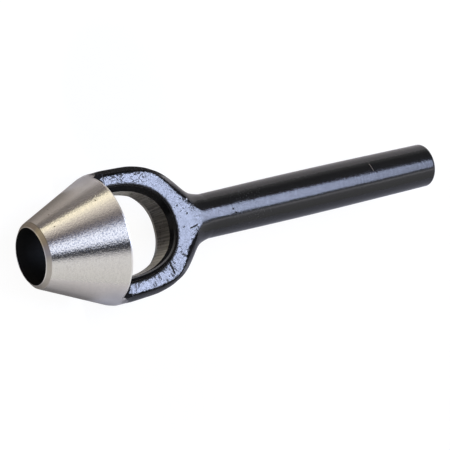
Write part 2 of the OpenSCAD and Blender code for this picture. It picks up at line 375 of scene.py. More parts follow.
def steel_material():
    """Bright turned steel: fine marks around the axis, a ground bevel, a painted highlight along the rim, painted
    glints along the top, painted shade beside the arms, a few specks.
    """
    g = Graph("bright_turned_steel")
    p, x, y, z = g.place()
    turn = g.math("ARCTAN2", z, y)
    cs, sn = g.math("COSINE", turn), g.math("SINE", turn)
    fine = g.noise(g.vector(g.mul(x, 5.2), g.mul(cs, 9.0), g.mul(sn, 9.0)), 1.0, 3.0, 0.6)
    broad = g.noise(g.vector(g.mul(x, 0.9), g.mul(cs, 2.2), g.mul(sn, 2.2)), 1.0, 2.0, 0.5)
    grit = g.noise(p, 1.7, 2.0, 0.6)
    radius = g.math("SQRT", g.add(g.mul(y, y), g.mul(z, z)))
    speck = None
    for sx, deg, size in ((5.4, 55.6, 0.34), (20.0, 50.2, 0.38), (8.1, 16.7, 0.30), (6.6, 29.4, 0.30), (16.0, 205.0, 0.35),
                          (10.5, 262.0, 0.32), (21.5, 318.0, 0.36)):
        a = math.radians(deg if deg < 180 else deg - 360)
        du = g.mul(g.math("SUBTRACT", turn, a), radius)
        dx = g.math("SUBTRACT", x, sx)
        d = g.math("SQRT", g.add(g.mul(du, du), g.mul(dx, dx)))
        c = g.step(d, size, size * 0.45)
        speck = c if speck is None else g.math("MAXIMUM", speck, c)
    colour = g.mix(broad, (0.61, 0.59, 0.56, 1), (0.66, 0.64, 0.61, 1))
    colour = g.mix(g.mul(g.step(fine, 0.35, 0.7), 0.4), colour, (0.54, 0.52, 0.49, 1))
    # Dark bluish specks in the colour: faint all round as grain, strong along the top band as painted glints where the
    # overhead light's highlight falls.
    glint_specks = g.step(g.noise(p, 1.9, 2.0, 0.7), 0.44, 0.64)
    highlight_band = g.mul(g.step(turn, math.radians(64), math.radians(78)), g.step(turn, math.radians(112), math.radians(100)))
    colour = g.mix(g.mul(glint_specks, g.step(highlight_band, 0.0, 1.0, 0.13, 0.72)), colour, (0.27, 0.285, 0.33, 1))
    bevel = g.step(x, 1.46, 1.30)
    # Painted highlight: a thin band at the rim edge, away from the arms, is made near-white in the colour.
    rim = g.mul(g.step(x, 24.9, 25.15), g.step(x, 25.64, 25.58), g.step(g.math("ABSOLUTE", z), 6.6, 7.4))
    # The bevel is lighter on the -Y side than on the +Y side.
    ground = g.mix(g.step(y, 2.0, -9.0), (0.51, 0.47, 0.405, 1), (0.60, 0.565, 0.50, 1))
    # Around the axis the bevel's colour goes from brown to gold and grey, and it is lightest near the -Y side.
    for deg, width, share, tone in ((27, 20, 0.85, (0.40, 0.345, 0.285, 1)), (46, 9, 0.9, (0.61, 0.545, 0.41, 1)),
                                    (88, 16, 0.8, (0.45, 0.42, 0.42, 1)), (137, 18, 0.8, (0.53, 0.50, 0.45, 1))):
        away = g.math("ABSOLUTE", g.math("SUBTRACT", turn, math.radians(deg)))
        ground = g.mix(g.mul(g.step(away, math.radians(width), math.radians(0.35 * width)), share), ground, tone)
    ground = g.mix(g.step(g.math("ABSOLUTE", turn), math.radians(155), math.radians(172)), ground, (0.69, 0.65, 0.575, 1))
    # A lighter lip at the cutting edge, and a dark line where the bevel ends on the upper +Y side.
    ground = g.mix(g.mul(g.step(x, 0.32, 0.16), 0.85), ground, (0.84, 0.82, 0.78, 1))
    colour = g.mix(bevel, colour, ground)
    seam = g.mul(g.step(x, 1.14, 1.26), g.step(x, 1.44, 1.36), g.step(turn, math.radians(6), math.radians(18)),
                 g.step(turn, math.radians(100), math.radians(86)))
    colour = g.mix(g.mul(seam, 0.65), colour, (0.24, 0.215, 0.18, 1))
    # Painted highlight on the rim edge.
    colour = g.mix(rim, colour, (0.92, 0.905, 0.88, 1))
    # Painted shade: the cone's colour is darkened just beside the arms, next to the rim.
    shade_beside_arms = g.mul(g.step(x, 17.0, 24.0), g.step(x, 26.2, 25.4), g.step(g.math("ABSOLUTE", z), 13.5, 6.5))
    colour = g.mix(g.mul(shade_beside_arms, 0.85), colour, (0.37, 0.36, 0.35, 1))
    colour = g.mix(g.mul(speck, 0.75), colour, (0.10, 0.08, 0.06, 1))
    height = g.add(g.mul(fine, 0.004), g.mul(broad, 0.008), g.mul(grit, g.step(x, 24.0, 4.0, 0.040, 0.055)))
    rough = g.add(g.mul(fine, 0.06), g.mul(grit, 0.04), 0.13, g.mul(bevel, 0.18), g.mul(rim, 0.25))
    around = g.node("ShaderNodeTangent", direction_type="RADIAL", axis="X").outputs[0]
    return g.finish({"Base Color": colour, "Metallic": 1.0, "Roughness": rough, "Anisotropic": 0.85,
                     "Anisotropic Rotation": 0.25, "Tangent": around, "Normal": g.bump(height)})


def bore_material():
    """Near-black inside of the head: painted shade in the passage, with drawn marks along it."""
    g = Graph("bore_painted_shade")
    p, x, y, z = g.place()
    turn = g.math("ARCTAN2", z, y)
    marks = g.noise(g.vector(g.mul(x, 0.25), g.mul(turn, 14.0), 0.0), 1.0, 3.0, 0.6)
    cloud = g.noise(p, 0.25, 3.0)
    colour = g.mix(cloud, (0.006, 0.006, 0.006, 1), (0.011, 0.0105, 0.0098, 1))
    return g.finish({"Base Color": colour, "Roughness": g.add(g.mul(marks, 0.2), 0.45), "Specular IOR Level": 0.12,
                     "Normal": g.bump(g.mul(marks, 0.02))})


def filler_material():
    """Dull filler metal in the joints, mostly under black paint."""
    g = Graph("dull_filler")
    p, x, y, z = g.place()
    grain = g.noise(p, 1.3, 3.0, 0.6)
    colour = g.mix(g.step(grain, 0.52, 0.68), (0.010, 0.010, 0.010, 1), (0.10, 0.085, 0.055, 1))
    return g.finish({"Base Color": colour, "Metallic": 0.3, "Roughness": g.add(g.mul(grain, 0.3), 0.35),
                     "Normal": g.bump(g.mul(grain, 0.05))})


def floor_material():
    g = Graph("pale_floor")
    p, x, y, z = g.place()
    cloud = g.noise(p, 0.004, 2.0)
    colour = g.mix(cloud, (0.11, 0.11, 0.11, 1), (0.13, 0.13, 0.129, 1))
    return g.finish({"Base Color": colour, "Roughness": 0.9, "Specular IOR Level": 0.0,
                     "Emission Color": (1, 1, 1, 1), "Emission Strength": 0.92})


def bench_material():
    """Pale bench with its light and shade painted into its colour: lightest round the head, painted shadows beside and
    under the bow, a painted pool of light under the window, darker far away on the +Y side, and a painted glow far out
    on the -Y side.
    """
    g = Graph("bench_painted_light")
    p, x, y, z = g.place()
    # Painted light: round the head the bench's brightness is set by Y.
    head = g.ramp(y, -260.0, 240.0, ((-250, 0.80), (-89, 0.73), (-58, 0.67), (-41, 0.60), (-29, 0.40), (15, 0.44),
                                     (31, 0.49), (39, 0.55), (50, 0.66), (85, 0.74), (115, 0.58), (190, 0.30)))
    # Painted shade beyond the head: darker on the -Y side than on the +Y side.
    tone = g.mix(g.step(x, 30.0, 44.0), head, g.mix(g.step(y, -5.0, 5.0), (0.40, 0.40, 0.40, 1), (0.62, 0.62, 0.62, 1)))
    # Painted shadows beside the bow, on both sides.
    tone = g.mix(g.step(g.blob(x, y, 60.0, -46.0, 28.0, 34.0), 0.0, 0.45), tone, (0.19, 0.19, 0.19, 1))
    tone = g.mix(g.step(g.blob(x, y, 60.0, 46.0, 28.0, 38.0), 0.0, 0.45), tone, (0.05, 0.05, 0.05, 1))
    # Painted shadow under the bow.
    painted_shadow_under_bow = g.mul(g.step(g.math("ABSOLUTE", y), 27.0, 20.0), g.step(x, 28.0, 36.0), g.step(x, 80.0, 66.0))
    tone = g.mix(painted_shadow_under_bow, tone, (0.04, 0.04, 0.04, 1))
    # Painted pool of light on the bench under the window.
    tone = g.mix(g.step(g.blob(x, y, 45.0, 0.0, 14.0, 13.0), 0.0, 0.4), tone, (0.75, 0.75, 0.75, 1))
    tint = g.mix(g.step(y, -10.0, 10.0), (1.05, 1.0, 0.95, 1), (1.12, 1.0, 0.84, 1))
    warm = g.node("ShaderNodeMix", {6: tone, 7: tint}, data_type="RGBA", blend_type="MULTIPLY")
    warm.inputs[0].default_value = 1.0
    # Painted glow: the bench emits light far out on the -Y side, beside the head.
    painted_glow = g.mul(g.step(x, 44.0, 30.0), g.ramp(y, -900.0, 100.0, ((-800, 0.43), (-320, 0.32), (-130, 0.23), (-70, 0.15), (-40, 0.06), (-25, 0.0))))
    return g.finish({"Base Color": warm.outputs[2], "Roughness": 0.9, "Specular IOR Level": 0.0,
                     "Emission Color": (1.0, 0.98, 0.96, 1), "Emission Strength": painted_glow})


PAINT, DULL = paint_material("gloss_black_paint", 0.5, 0.0025), paint_material("dull_black_paint", 0.2, 0.006)
FLAT, EDGE = paint_material("flats_black_paint", 0.68, 0.0025), paint_material("edge_black_paint", 0.05, 0.002)
STEEL, BORE, FILLER, ROOT = steel_material(), bore_material(), filler_material(), root_material()

# --------------------------------------------------------------- cutting head

# The window at four heights: drafted from both flats to the land where its web was trimmed
# out. Half width beside the head, reach towards the neck, and how blunt its end is.
WINDOW_Z = (-HALF_T, -2.0, 4.5, HALF_T)
WINDOW_HALF = (16.2, 13.75, 14.2, 16.3)
WINDOW_REACH = (20.8, 18.1, 19.5, 20.9)
WINDOW_BLUNT = (2.2, 2.55, 2.26, 2.2)
WINDOW_X = 31.0


def window_half(z):
    return np.interp(z, WINDOW_Z, WINDOW_HALF)


def paint_line(z):
    """How far along the tool the turned finish reaches on the outer walls of the lugs and arms."""
    return 25.85 + 4.0 * (1 - (z / HALF_T) ** 2)


def cutting_head():
    n_in, n_out = 30, 130
    cone = (RIM_R - BEVEL_R) / (25.3 - BEVEL_X)
    edge = math.asin(HALF_T / RIM_R)
    in_a = np.linspace(-edge, edge, n_in + 1)
    in_z = RIM_R * np.sin(in_a)

    def angles(r_edge):
        """Column angles on a circle where the columns beside the lugs stay level with the flats."""
        e = math.asin(HALF_T / r_edge)
        a_in = np.arcsin(np.clip(in_z / r_edge, -1, 1))
        a_out = np.linspace(e, math.pi - e, n_out + 1)
        return np.concatenate([a_in[:-1], a_out[:-1], math.pi + a_in[:-1], math.pi + a_out[:-1]])

    straight, bent = angles(RIM_R), angles(THROAT_R)
    slope = (THROAT_R - CUT_R) / (RIM_X - LAND_X)
    inner = [(RIM_X, THROAT_R)] + [(x, CUT_R + slope * (x - LAND_X)) for x in (25.3, 23, 20, 17, 14, 11, 8, 6, 4.5, 4.1)]
    inner += [(x, CUT_R) for x in (3.9, 3.5, 2.5, 1.5, 0.7, 0.2, 0.07)]
    tip = [(0.03, 9.529), (0.017, 9.543), (0.022, 9.560), (0.05, 9.584)]
    bevel = [(x, CUT_R + (BEVEL_R - CUT_R) * x / BEVEL_X) for x in (0.12, 0.4, 0.7, 1.0, 1.22, 1.29)]
    bevel += [(1.345, 11.078), (1.41, 11.118)]
    outer = [(x, BEVEL_R + cone * (x - BEVEL_X)) for x in (1.5, 1.7, 2.2, 3.5, 5, 7, 9, 11, 13, 15, 17, 19, 21, 23, 24.4, 24.9, 25.1)]
    s_x, s_r = outer[-1]

    parts = Patches()
    rows = []
    for i, (x, r) in enumerate(inner):
        mix = min(1.0, max(0.0, (x - 10) / (RIM_X - 10)))
        rows.append(ring_points(x, r, straight + (bent - straight) * mix))
    n = len(straight)
    verts, faces = strip(rows + [ring_points(x, r, straight) for x, r in tip + bevel + outer], True)
    # Faces inside the head take the bore material, painted near-black as shade.
    parts.add(verts, faces, [2 if f // n < len(inner) - 2 else 0 for f in range(len(faces))])

    # Rim and back face between the lugs.
    rim = [(25.22, 21.455), (25.32, 21.487), (25.42, 21.475), (25.51, 21.41), (25.575, 21.30), (25.6, 21.16)]
    for side in (0, 1):
        z_edge = HALF_T if side == 0 else -HALF_T
        p_r = math.hypot(max(float(window_half(z_edge)), 13.3), HALF_T)

        def arc(r, level=True):
            e = math.asin(HALF_T / r) if level else edge
            a = np.linspace(e, math.pi - e, n_out + 1)
            return a if side == 0 else a + math.pi

        rows = [ring_points(s_x, s_r, arc(s_r, False))]
        rows += [ring_points(x, r, arc(r)) for x, r in rim]
        rows += [ring_points(RIM_X, r, arc(r)) for r in (21.0, 19.6 if side == 0 else 18.6, p_r, THROAT_R)]
        verts, faces = strip(rows, False)
        parts.add(verts, faces, [0 if f // n_out < len(rim) + 1 else 3 for f in range(len(faces))])

    # Lugs. The turned finish ends on their outer sides in a ragged line of paint.
    wall = np.maximum(window_half(in_z), np.sqrt(THROAT_R ** 2 - in_z ** 2) + 0.12)
    rng = np.random.RandomState(5)
    for sign in (1, -1):
        def at(x, yy):
            return np.stack([np.broadcast_to(x, in_z.shape), sign * yy, sign * in_z], 1)

        # The window is narrower below, so the lug on the other side is its mirror image in Y.
        wall_y = wall if sign == 1 else wall[::-1]
        ragged = rng.rand(len(in_z))
        ragged = (ragged + np.roll(ragged, 1) + 0.5 * np.roll(ragged, 2)) / 2.5
        paint_x = np.minimum(paint_line(in_z) + 0.6 * (ragged - 0.5), LUG_X - 0.06)

        def outside(x):
            """Outer wall of the lug: the cone runs on until it meets the round of the arms."""
            r = np.interp(np.broadcast_to(x, in_z.shape), (s_x, 25.3, 26.1, 26.5, 27.0), (s_r, RIM_R, 21.85, 21.96, LUG_R))
            return at(x, np.sqrt(r * r - in_z * in_z))

        rows = [np.stack([np.full_like(in_z, s_x), sign * s_r * np.cos(in_a), sign * s_r * np.sin(in_a)], 1)]
        rows += [outside(x) for x in (25.3, 25.36, (25.36 + paint_x) / 2, paint_x)]
        n_steel = len(rows) - 1
        rows += [outside(paint_x + (LUG_X - paint_x) * t) for t in (0.35, 0.70, 1.0)]
        out_y = np.sqrt(LUG_R ** 2 - in_z ** 2)
        rows += [at(LUG_X, out_y + (wall_y - out_y) * t) for t in (0.13, 0.26, 0.50, 0.75, 1.0)]
        corner, stop = len(rows) - 4, len(rows) - 2
        rows += [at(x, wall_y) for x in (28.4, 27.2, 26.2, RIM_X)]
        rows += [at(RIM_X, np.sqrt(THROAT_R ** 2 - in_z ** 2))]
        verts, faces = strip(rows, False)
        parts.add(verts, faces, [0 if f // n_in < n_steel else 1 for f in range(len(faces))])
        # Side faces of the lug, level with the flats: a glossy tongue in the middle, else sooty.
        for end in (0, -1):
            z_here = HALF_T if (in_z[end] * sign) > 0 else -HALF_T
            loop = [r[end] for r in rows[:-1]]
            p_y = abs(loop[-1][1])
            s = -1 if loop[0][1] < 0 else 1
            back = [(RIM_X, math.sqrt(r * r - HALF_T ** 2)) for r in (19.6 if z_here > 0 else 18.6, 21.0)]
            back += [(x, math.sqrt(r * r - HALF_T ** 2)) for x, r in reversed(rim)]
            back = [np.array([x, s * yy, z_here]) for x, yy in back if yy > p_y + 1e-6]
            a, b = loop[stop], loop[corner]
            tip = b + np.array([-1.05, -0.25 * s, 0.0])
            t = np.linspace(0, 1, 12)[1:]
            line = np.concatenate([a + (tip - a) * t[:, None], tip + (b - tip) * np.array([[0.3], [0.65]])])
            line[:, 0] += rng.uniform(-0.2, 0.2, len(line))
            line[:, 0] = np.minimum(line[:, 0], LUG_X - 0.04)
            gloss = loop[corner:stop + 1] + list(line)
            sooty = loop[:corner + 1] + list(line[::-1]) + loop[stop:] + back
            parts.add(np.array(gloss), [tuple(range(len(gloss)))], 4)
            parts.add(np.array(sooty), [tuple(range(len(sooty)))], 3)
    obj = parts.build("cutting_head_turned", [STEEL, PAINT, BORE, ROOT, FLAT])
    obj.data.set_sharp_from_angle(angle=math.radians(28))
    return obj


head = cutting_head()

# ------------------------------------------------------------------- the bow


def body_field(p):
    x, y, z = p.T
    w, f = side_y(x), flat_y(x)
    # The arm on the -Y side is forged a little tighter.
    w = w - 0.45 * np.exp(-((x - 44.0) / 12.0) ** 2) / (1 + np.exp(np.clip(y, -30, 30)))
    tall = level_z(x) / np.sqrt(np.maximum(1 - (f / w) ** 2, 0.02))
    return np.sqrt((y / w) ** 2 + (z / tall) ** 2) - 1


def window_field(p):
    x, y, z = p.T
    a, b, n = (np.interp(z, WINDOW_Z, v) for v in (WINDOW_REACH, WINDOW_HALF, WINDOW_BLUNT))
    u, v = np.maximum(x - WINDOW_X, 0) / a, np.abs(y) / b
    return (u ** n + v ** n + 1e-12) ** (1 / n) - 1


def distance(field, p, e=0.02):
    slope = np.stack([field(p + d) - field(p - d) for d in np.eye(3) * e], 1) / (2 * e)
    return field(p) / np.maximum(np.linalg.norm(slope, axis=1), 0.025)


def round_max(a, b, r):
    h = np.maximum(r - np.abs(a - b), 0) / r
    return np.maximum(a, b) + h * h * r * 0.25


def bow_field(p, fine=True):
    x = p[:, 0]
    side = distance(body_field, p)
    flat = np.abs(p[:, 2]) - level_z(x)
    hole = -distance(window_field, p)
    r1, r2 = 0.35, 0.45
    if fine:
        worn = lumps(p + 40.0, 2.3)
        r1, r2 = 0.22 + 0.40 * worn, 0.25 + 0.50 * worn
    # Towards the neck the flats run out in the round bar, so their edges get finer there.
    spare = level_z(x) / np.sqrt(np.maximum(1 - (flat_y(x) / side_y(x)) ** 2, 0.02)) - level_z(x)
    d = round_max(round_max(side, flat, np.minimum(r1, 0.03 + 0.5 * spare)), hole, r2)
    if fine:
        t = np.clip((65.5 - x) / 7.0, 0, 1)
        d = d + (0.045 * lumps(p, 6.5) + 0.02 * lumps(p + 90.0, 1.9)) * t * t * (3 - 2 * t)
    return d


def gradient(p, e=0.02):
    return np.stack([bow_field(p + d) - bow_field(p - d) for d in np.eye(3) * e], 1) / (2 * e)


def surface_nets(values, origin, h):
    """Quads around every grid edge on which the sign of values changes."""
    inside = values < 0
    cut = tuple(slice(0, n - 1) for n in values.shape)
    shape = tuple(n - 1 for n in values.shape)

    def corner(a, c):
        return a[tuple(slice(i, i + n) for i, n in zip(c, shape))]

    corners = [(i, j, k) for i in (0, 1) for j in (0, 1) for k in (0, 1)]
    total = sum(corner(inside, c).astype(np.int8) for c in corners)
    active = (total > 0) & (total < 8)
    index = np.full(shape, -1, np.int64)
    index[active] = np.arange(active.sum())
    base = np.argwhere(active).astype(float)
    pos, count = np.zeros_like(base), np.zeros(len(base))
    for c in corners:
        for axis in range(3):
            if c[axis]:
                continue
            d = list(c)
            d[axis] = 1
            v0, v1 = corner(values, c)[active], corner(values, tuple(d))[active]
            hit = (v0 < 0) != (v1 < 0)
            t = np.where(hit, v0 / np.where(hit, v0 - v1, 1), 0)
            q = base + np.array(c, float)
            q[:, axis] += t
            pos += q * hit[:, None]
            count += hit
    points = origin + h * pos / count[:, None]
    quads = []
    for axis in range(3):
        b, c = (axis + 1) % 3, (axis + 2) % 3
        lo = [slice(None)] * 3
        hi = [slice(None)] * 3
        lo[axis], hi[axis] = slice(0, -1), slice(1, None)
        s0, s1 = inside[tuple(lo)], inside[tuple(hi)]
        e = np.argwhere(s0 != s1)
        e = e[(e[:, b] > 0) & (e[:, c] > 0) & (e[:, b] < shape[b]) & (e[:, c] < shape[c])]
        flip = ~s0[tuple(e.T)]
        cells = []
        for ob, oc in ((1, 1), (0, 1), (0, 0), (1, 0)):
            k = e.copy()
            k[:, b] -= ob
            k[:, c] -= oc
            cells.append(index[tuple(k.T)])
        q = np.stack(cells, 1)
        q[flip] = q[flip][:, ::-1]
        quads.append(q)
    return points, np.concatenate(quads)


def arch_bow():
    h = 0.29
    low, high = np.array([ARM_X - 0.7, -22.8, -8.2]), np.array([NECK_0 + 0.7, 22.8, 8.2])
    axes = [np.arange(a, b + h, h) for a, b in zip(low, high)]
    grid = np.stack(np.meshgrid(*axes, indexing="ij"), -1)
    values = bow_field(grid.reshape(-1, 3), False).reshape(grid.shape[:3])
    p, quads = surface_nets(values, low, h)
    links = np.concatenate([quads[:, [0, 1]], quads[:, [1, 2]], quads[:, [2, 3]], quads[:, [3, 0]]])
    links = np.unique(np.sort(links, 1), axis=0)
    both = np.concatenate([links, links[:, ::-1]])
    count = np.bincount(both[:, 0], minlength=len(p))

    def project(p, times):
        for _ in range(times):
            f, s = bow_field(p), gradient(p)
            p = p - np.clip(f / np.maximum((s ** 2).sum(1), 0.05), -0.3, 0.3)[:, None] * s
        return p

    p = project(p, 2)
    for _ in range(5):
        mean = np.stack([np.bincount(both[:, 0], p[both[:, 1], k], len(p)) for k in range(3)], 1) / count[:, None]
        s = gradient(p)
        s /= np.linalg.norm(s, axis=1)[:, None]
        move = mean - p
        move -= (move * s).sum(1)[:, None] * s
        p = project(p + 0.6 * move, 1)
    p = project(p, 1)

    obj = make_object("arch_bow_forged", p, quads.tolist(), [PAINT, DULL, STEEL, FLAT, EDGE])
    bm = bmesh.new()
    bm.from_mesh(obj.data)
    for x, clear in ((ARM_X, "clear_inner"), (NECK_0, "clear_outer")):
        bmesh.ops.bisect_plane(bm, geom=bm.verts[:] + bm.edges[:] + bm.faces[:], dist=1e-7,
                               plane_co=(x * MM, 0, 0), plane_no=(1, 0, 0), **{clear: True})
    bmesh.ops.holes_fill(bm, edges=[e for e in bm.edges if e.is_boundary and e.verts[0].co.x < 0.04], sides=0)
    loop = [e for e in bm.edges if e.is_boundary]
    new = bmesh.ops.extrude_edge_only(bm, edges=loop)["geom"]
    for v in (g for g in new if isinstance(g, bmesh.types.BMVert)):
        r = math.hypot(v.co.y, v.co.z)
        v.co = (NECK_X * MM, v.co.y * GROOVE_R * MM / r, v.co.z * GROOVE_R * MM / r)
    bmesh.ops.holes_fill(bm, edges=[e for e in bm.edges if e.is_boundary], sides=0)
    bmesh.ops.remove_doubles(bm, verts=bm.verts, dist=1e-6)
    bmesh.ops.dissolve_degenerate(bm, edges=bm.edges, dist=1e-7)
    bmesh.ops.recalc_face_normals(bm, faces=bm.faces)
    bm.to_mesh(obj.data)
    bm.free()
    mesh = obj.data
    mesh.update()

    co = np.zeros(len(mesh.vertices) * 3, np.float32)
    mesh.vertices.foreach_get("co", co)
    co = co.reshape(-1, 3).astype(float) / MM
    side, flat, hole = distance(body_field, co), np.abs(co[:, 2]) - level_z(co[:, 0]), -distance(window_field, co)
    over = side - flat
    near_out = np.exp(-(np.where(over < 0, over / 0.55, over / 1.3)) ** 2) * (np.maximum(side, flat) > hole)
    near_in = np.exp(-(np.minimum(hole - flat, 0) / 0.6) ** 2) * (flat > side)
    inner = np.clip((hole - np.maximum(side, flat) + 0.05) / 0.25, 0, 1)
    for name, values in (("outer_edge", near_out), ("inner_edge", near_in * (1 - inner)), ("window", inner)):
        mesh.attributes.new(name, "FLOAT", "POINT").data.foreach_set("value", values.astype(np.float32))

    normals = gradient(co)
    normals /= np.linalg.norm(normals, axis=1)[:, None]
    loops = len(mesh.loops)
    v_of = np.zeros(loops, np.int32)
    mesh.loops.foreach_get("vertex_index", v_of)
    start, size = np.zeros(len(mesh.polygons), np.int32), np.zeros(len(mesh.polygons), np.int32)
    mesh.polygons.foreach_get("loop_start", start)
    mesh.polygons.foreach_get("loop_total", size)
    face_n = np.zeros(len(mesh.polygons) * 3, np.float32)
    mesh.polygons.foreach_get("normal", face_n)
    face_n = face_n.reshape(-1, 3)
    centre = np.zeros(len(mesh.polygons) * 3, np.float32)
    mesh.polygons.foreach_get("center", centre)
    centre = centre.reshape(-1, 3).astype(float) / MM
    centre_x = centre[:, 0]
    # The drafts of the window and a ragged line under the edges of the flats are dull.
    side, flat, hole = distance(body_field, centre), np.abs(centre[:, 2]) - level_z(centre_x), -distance(window_field, centre)
    draft = (hole > np.maximum(side, flat)) & ((centre[:, 2] > 4.45) | (centre[:, 2] < -2.05))
    reach = (0.65 + 0.8 * lumps(centre + 70.0, 1.1)) * np.clip((59.5 - centre_x) / 3.5, 0, 1)
    inset = 0.15 + 0.5 * np.clip((43.0 - centre_x) / 5.0, 0, 1) * (centre[:, 1] > 0)
    inset = inset + 0.35 * np.exp(-((centre_x - 54.5) / 2.5) ** 2) * (centre[:, 1] < 0)
    inset = inset * np.clip((60.0 - centre_x) / 3.0, 0, 1) + (0.3 + inset) * (0.5 - lumps(centre + 20.0, 0.8))
    shoulder = (side > hole) & (side - flat > -inset) & (side - flat < reach) & (centre_x < 59.5)
    # Close to the edges the line is sooty.
    line = shoulder & (side - flat < 0.22 + 0.4 * lumps(centre + 90.0, 0.9))
    # The turned finish of the head runs a little way onto the arms.
    bright = (side > hole) & (side > flat - 0.05) & (centre_x < paint_line(centre[:, 2]) + 0.6 * (lumps(centre + 55.0, 0.7) - 0.5))
    # The paint on the flats is the glossiest.
    level = (flat > side) & (flat > hole) & (centre_x < 60.5 + 2.5 * lumps(centre + 33.0, 1.0))
    kind = np.where(bright, 2, np.where(line, 4, np.where(draft | shoulder, 1, np.where(level, 3, 0))))
    mesh.polygons.foreach_set("material_index", kind.astype(np.int32))
    cap = (centre_x < ARM_X + 0.01) | (centre_x > NECK_0 + 0.01)
    loop_n = normals[v_of]
    owner = np.repeat(np.arange(len(size)), size)
    at = np.concatenate([np.arange(s, s + k) for s, k in zip(start, size)])
    poly_of = np.zeros(loops, np.int64)
    poly_of[at] = owner
    loop_n[cap[poly_of]] = face_n[poly_of][cap[poly_of]]
    mesh.normals_split_custom_set(loop_n.tolist())
    return obj


bow = arch_bow()

# ------------------------------------------------------- shank, weld and filler


def lathe(name, rows, columns, materials, uneven=0.0, closed_profile=False, tips=(None, None)):
    """A turned piece from rows of (x, r). A closed profile makes a ring; otherwise both ends close on the axis."""
    a = np.linspace(0, 2 * math.pi, columns, endpoint=False)
    rings = []
    for x, r in rows:
        q = ring_points(x, r, a)
        if uneven:
            t = min(1.0, max(0.0, (x - NECK_1) / 7.0))
            q[:, 1:] *= (1 - uneven * t * t * (3 - 2 * t) * lumps(q * [0.6, 1, 1] + 200.0, 5.0) / r)[:, None]
        rings.append(q)
    if closed_profile:
        rings.append(rings[0])
    verts, faces = strip(rings, True)
    parts = Patches()
    parts.add(verts, faces, 0)
    if not closed_profile:
        for ring, x in ((rings[0], tips[0]), (rings[-1], tips[1])):
            fan = np.concatenate([ring, [[x, 0, 0]]])
            parts.add(fan, [(k, (k + 1) % columns, columns) for k in range(columns)], 0)
    return parts.build(name, materials)


def shank_rows():
    end_r = float(shank_r(END_X - END_ROUND))
    rows = [(NECK_X, 2.2), (NECK_X, 4.4), (NECK_X, GROOVE_R - 0.05), (NECK_X + 0.05, GROOVE_R + 0.02)]
    rows += [(NECK_1 - 0.02, float(shank_r(NECK_1)) - 0.02), (NECK_1, float(shank_r(NECK_1)))]
    rows += [(x, float(shank_r(x))) for x in np.concatenate([[69.5], np.arange(70.5, 159.5, 1.25), [159.7]])]
    rows += [(END_X - END_ROUND + END_ROUND * math.sin(t), end_r - END_ROUND + END_ROUND * math.cos(t))
             for t in np.radians(np.arange(4, 87, 7.5))]
    rows += [(END_X - 0.002, end_r - END_ROUND - 0.15)]
    rows += [(END_X, r) for r in (5.6, 4.6, 3.2, 1.6)]
    return rows


shank = lathe("shank_bar", shank_rows(), 144, [PAINT], uneven=0.03, tips=(NECK_X, END_X))
shank.data.set_sharp_from_angle(angle=math.radians(35))

weld_rows = [(x, float(shank_r(x)) + 0.001) for x in np.linspace(NECK_0, NECK_1, 9)]
weld_rows += [(NECK_X + 0.6, 7.02), (NECK_X, GROOVE_R), (NECK_X - 0.6, 7.02)]
weld = lathe("neck_weld_flush", weld_rows, 144, [PAINT], closed_profile=True)
weld.data.set_sharp_from_angle(angle=math.radians(35))


def filler_seams():
    """Two thin seams of filler metal between the lugs and the arms."""
    parts = Patches()
    z = np.linspace(-HALF_T + 0.1, HALF_T - 0.1, 33)
    for sign in (1, -1):
        out_y, in_y = np.sqrt((LUG_R - 0.05) ** 2 - z * z), window_half(z) + 0.08
        loop = []
        for t in (0.0, 0.2, 0.4, 0.6, 0.8, 1.0):
            loop.append(out_y + (in_y - out_y) * t)
        rows = [np.stack([np.full_like(z, LUG_X), sign * v, z], 1) for v in loop]
        rows += [np.stack([np.full_like(z, ARM_X), sign * v, z], 1) for v in reversed(loop)]
        rows.append(rows[0])
        verts, faces = strip(rows, False)
        turned = np.abs(z[:-1] + z[1:]) / 2 < 3.8
        parts.add(verts, faces, [1 if f // 32 == len(rows) - 2 and turned[f % 32] else 0 for f in range(len(faces))])
        for end in (0, -1):
            cap = np.array([r[end] for r in rows[:-1]])
            parts.add(cap, [(k, k + 1, len(cap) - 2 - k, len(cap) - 1 - k) for k in range(5)], 0)
    obj = parts.build("head_braze_seams", [FILLER, STEEL])
    obj.data.set_sharp_from_angle(angle=math.radians(40))
    return obj


braze = filler_seams()

for piece, node, slot in ((head, "cutting_head", "turned_steel"), (bow, "arch_bow", "black_paint"),
                          (shank, "shank", "black_paint"), (weld, "neck_weld", "black_paint"),
                          (braze, "head_braze", "braze_filler")):
    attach(piece, "root")
    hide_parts(node)

# ------------------------------------------------------- floor, light, camera

def plane(name, x0, x1, y0, y1, z_of_x, material):
    corners = [(x0, y0, z_of_x(x0)), (x1, y0, z_of_x(x1)), (x1, y1, z_of_x(x1)), (x0, y1, z_of_x(x0))]
    obj = make_object(name, corners, [(0, 1, 2, 3)], [material], smooth=False)
    return obj


# The floor that is seen, and the bench top that lights the tool from below. The tool
# lies on the bench on its rim and on the struck end of the shank.
floor_obj = plane("floor", -2500, 2500, -2500, 2500, lambda x: -21.6, floor_material())
floor_obj.visible_diffuse = floor_obj.visible_glossy = False
# The bench's light, shadows and glow are painted into its material.
bench = plane("bench", -1200, 1200, -2500, 2500, lambda x: -21.65 + 0.1035 * (x - 25.6), bench_material())
bench.visible_camera = bench.visible_shadow = False


